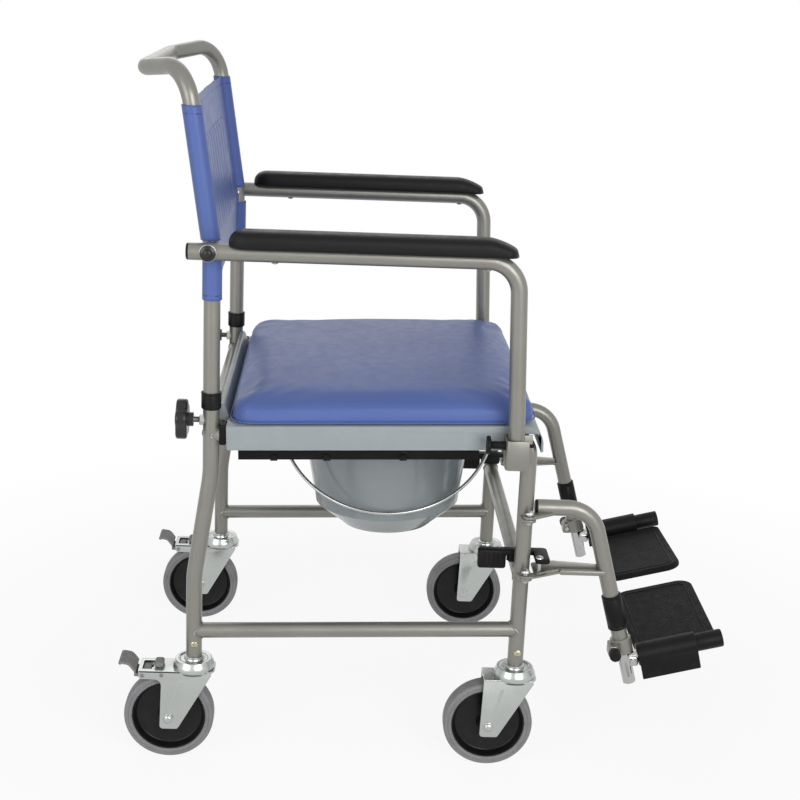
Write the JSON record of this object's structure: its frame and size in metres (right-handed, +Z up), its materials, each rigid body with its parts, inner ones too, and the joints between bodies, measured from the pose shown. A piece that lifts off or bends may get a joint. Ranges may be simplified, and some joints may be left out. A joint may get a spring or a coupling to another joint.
{
  "type": "wheeled commode chair",
  "caption": "Tube-framed commode chair on braked castors with a lift-off back, swing-up arms, padded seat over a slide-out pan, and swing-away footrests.",
  "frame": {"origin": "on the floor, under the middle of the bounding box", "axes": "+Z up, -Y the way the sitter faces, -X the sitter's right"},
  "size_m": [0.583, 0.8415, 0.9605],
  "materials": {
    "tube_paint": "champagne grey metallic powder coat",
    "black_plastic": "moulded black plastic",
    "black_pad": "black polyurethane foam skin",
    "blue_vinyl": "blue stitched vinyl",
    "board_grey": "blue-grey moulded plastic",
    "pan_grey": "glossy grey plastic",
    "tyre_grey": "grey rubber tyre",
    "zinc": "bright zinc plated steel",
    "chrome": "chromed steel",
    "pedal_grey": "grey ribbed plastic"
  },
  "bodies": {
    "frame": {"frame_side_right": "tube_paint", "frame_side_left": "tube_paint", "cross_tube_front": "tube_paint", "cross_tube_rear": "tube_paint", "socket_collar_right": "black_plastic", "socket_collar_left": "black_plastic", "seat_board": "board_grey", "pan_guide_right": "black_plastic", "pan_guide_left": "black_plastic"},
    "cushion": {"seat_cushion": "blue_vinyl"},
    "backrest": {"push_bar": "tube_paint", "backrest_sling": "blue_vinyl"},
    "pan_body": {"pan": "pan_grey"},
    "bail": {"pan_bail": "zinc"},
    "arm_right": {"arm_tube_right": "tube_paint", "arm_pad_right": "black_pad", "arm_end_cap_right": "black_plastic"},
    "star_right": {"star_knob_right": "black_plastic"},
    "plunger_right": {"arm_plunger_right": "black_plastic"},
    "hanger_right": {"footrest_hanger_right": "tube_paint", "hanger_plug_right": "black_plastic", "hanger_sleeve_right": "black_plastic"},
    "lever_right": {"release_lever_right": "black_plastic"},
    "clamp_right": {"clamp_knob_right": "black_plastic"},
    "extension_right": {"footrest_extension_right": "chrome"},
    "plate_right": {"footplate_right": "black_plastic"},
    "castor_rear_right": {"fork_rear_right": "zinc", "axle_rear_right": "zinc"},
    "wheel_rear_right": {"hub_rear_right": "black_plastic", "tyre_rear_right": "tyre_grey"},
    "pedal_right": {"brake_pedal_right": "pedal_grey"},
    "castor_front_right": {"fork_front_right": "zinc", "axle_front_right": "zinc"},
    "wheel_front_right": {"hub_front_right": "black_plastic", "tyre_front_right": "tyre_grey"},
    "arm_left": {"arm_tube_left": "tube_paint", "arm_pad_left": "black_pad", "arm_end_cap_left": "black_plastic"},
    "star_left": {"star_knob_left": "black_plastic"},
    "plunger_left": {"arm_plunger_left": "black_plastic"},
    "hanger_left": {"footrest_hanger_left": "tube_paint", "hanger_plug_left": "black_plastic", "hanger_sleeve_left": "black_plastic"},
    "lever_left": {"release_lever_left": "black_plastic"},
    "clamp_left": {"clamp_knob_left": "black_plastic"},
    "extension_left": {"footrest_extension_left": "chrome"},
    "plate_left": {"footplate_left": "black_plastic"},
    "castor_rear_left": {"fork_rear_left": "zinc", "axle_rear_left": "zinc"},
    "wheel_rear_left": {"hub_rear_left": "black_plastic", "tyre_rear_left": "tyre_grey"},
    "pedal_left": {"brake_pedal_left": "pedal_grey"},
    "castor_front_left": {"fork_front_left": "zinc", "axle_front_left": "zinc"},
    "wheel_front_left": {"hub_front_left": "black_plastic", "tyre_front_left": "tyre_grey"}
  },
  "joints": [
    {"name": "cushion_lift", "type": "slide", "parent": "frame", "child": "cushion", "axis": [0, 0.0323, 0.9995], "range_m": [0, 0.12]},
    {"name": "backrest_lift", "type": "slide", "parent": "frame", "child": "backrest", "axis": [0, 0, 1], "range_m": [0, 0.12]},
    {"name": "pan_slide", "type": "slide", "parent": "frame", "child": "pan_body", "axis": [0, 0.9995, -0.0323], "range_m": [0, 0.3]},
    {"name": "bail_swing", "type": "hinge", "parent": "pan_body", "child": "bail", "pos_m": [0, 0.05263, 0.43171], "axis": [0, 0.9995, -0.0323], "range_deg": [0, 40]},
    {"name": "arm_swing_right", "type": "hinge", "parent": "backrest", "child": "arm_right", "pos_m": [-0.27, 0.2967, 0.7265], "axis": [-1, 0, 0], "range_deg": [0, 100]},
    {"name": "star_turn_right", "type": "hinge", "parent": "frame", "child": "star_right", "pos_m": [-0.235, 0.3254, 0.494], "axis": [0, 1, 0], "continuous": true},
    {"name": "plunger_pull_right", "type": "slide", "parent": "frame", "child": "plunger_right", "axis": [0, 1, 0], "range_m": [0, 0.012], "stiffness_N_per_m": 300},
    {"name": "hanger_swing_right", "type": "hinge", "parent": "frame", "child": "hanger_right", "pos_m": [-0.258, -0.1343, 0.376], "axis": [0, 0, 1], "range_deg": [-90, 0]},
    {"name": "lever_turn_right", "type": "hinge", "parent": "hanger_right", "child": "lever_right", "pos_m": [-0.24535, -0.15355, 0.3139], "axis": [0, 0, 1], "range_deg": [-12, 0], "stiffness_Nm_per_rad": 0.3},
    {"name": "clamp_turn_right", "type": "hinge", "parent": "hanger_right", "child": "clamp_right", "pos_m": [-0.235, -0.26564, 0.1795], "axis": [1, 0, 0], "continuous": true},
    {"name": "extension_slide_right", "type": "slide", "parent": "hanger_right", "child": "extension_right", "axis": [0, -0.2689, -0.9632], "range_m": [0, 0.06]},
    {"name": "footplate_fold_right", "type": "hinge", "parent": "extension_right", "child": "plate_right", "pos_m": [-0.235, -0.30114, 0.17037], "axis": [0, -0.9686, 0.2487], "range_deg": [0, 90]},
    {"name": "swivel_rear_right", "type": "hinge", "parent": "frame", "child": "castor_rear_right", "pos_m": [-0.235, 0.3162, 0.1505], "axis": [0, 0, 1], "continuous": true},
    {"name": "roll_rear_right", "type": "hinge", "parent": "castor_rear_right", "child": "wheel_rear_right", "pos_m": [-0.235, 0.3502, 0.0625], "axis": [1, 0, 0], "continuous": true},
    {"name": "brake_press_right", "type": "hinge", "parent": "castor_rear_right", "child": "pedal_right", "pos_m": [-0.235, 0.3857, 0.1425], "axis": [-1, 0, 0], "range_deg": [0, 12]},
    {"name": "swivel_front_right", "type": "hinge", "parent": "frame", "child": "castor_front_right", "pos_m": [-0.235, -0.1313, 0.1505], "axis": [0, 0, 1], "continuous": true},
    {"name": "roll_front_right", "type": "hinge", "parent": "castor_front_right", "child": "wheel_front_right", "pos_m": [-0.235, -0.0973, 0.0625], "axis": [1, 0, 0], "continuous": true},
    {"name": "arm_swing_left", "type": "hinge", "parent": "backrest", "child": "arm_left", "pos_m": [0.27, 0.2967, 0.7265], "axis": [-1, 0, 0], "range_deg": [0, 100]},
    {"name": "star_turn_left", "type": "hinge", "parent": "frame", "child": "star_left", "pos_m": [0.235, 0.3254, 0.494], "axis": [0, 1, 0], "continuous": true},
    {"name": "plunger_pull_left", "type": "slide", "parent": "frame", "child": "plunger_left", "axis": [0, 1, 0], "range_m": [0, 0.012], "stiffness_N_per_m": 300},
    {"name": "hanger_swing_left", "type": "hinge", "parent": "frame", "child": "hanger_left", "pos_m": [0.258, -0.1343, 0.376], "axis": [0, 0, 1], "range_deg": [0, 90]},
    {"name": "lever_turn_left", "type": "hinge", "parent": "hanger_left", "child": "lever_left", "pos_m": [0.24535, -0.15355, 0.3139], "axis": [0, 0, 1], "range_deg": [0, 12], "stiffness_Nm_per_rad": 0.3},
    {"name": "clamp_turn_left", "type": "hinge", "parent": "hanger_left", "child": "clamp_left", "pos_m": [0.235, -0.26564, 0.1795], "axis": [1, 0, 0], "continuous": true},
    {"name": "extension_slide_left", "type": "slide", "parent": "hanger_left", "child": "extension_left", "axis": [0, -0.2689, -0.9632], "range_m": [0, 0.06]},
    {"name": "footplate_fold_left", "type": "hinge", "parent": "extension_left", "child": "plate_left", "pos_m": [0.235, -0.30114, 0.17037], "axis": [0, -0.9686, 0.2487], "range_deg": [-90, 0]},
    {"name": "swivel_rear_left", "type": "hinge", "parent": "frame", "child": "castor_rear_left", "pos_m": [0.235, 0.3162, 0.1505], "axis": [0, 0, 1], "continuous": true},
    {"name": "roll_rear_left", "type": "hinge", "parent": "castor_rear_left", "child": "wheel_rear_left", "pos_m": [0.235, 0.3502, 0.0625], "axis": [1, 0, 0], "continuous": true},
    {"name": "brake_press_left", "type": "hinge", "parent": "castor_rear_left", "child": "pedal_left", "pos_m": [0.235, 0.3857, 0.1425], "axis": [-1, 0, 0], "range_deg": [0, 12]},
    {"name": "swivel_front_left", "type": "hinge", "parent": "frame", "child": "castor_front_left", "pos_m": [0.235, -0.1313, 0.1505], "axis": [0, 0, 1], "continuous": true},
    {"name": "roll_front_left", "type": "hinge", "parent": "castor_front_left", "child": "wheel_front_left", "pos_m": [0.235, -0.0973, 0.0625], "axis": [1, 0, 0], "continuous": true}
  ]
}
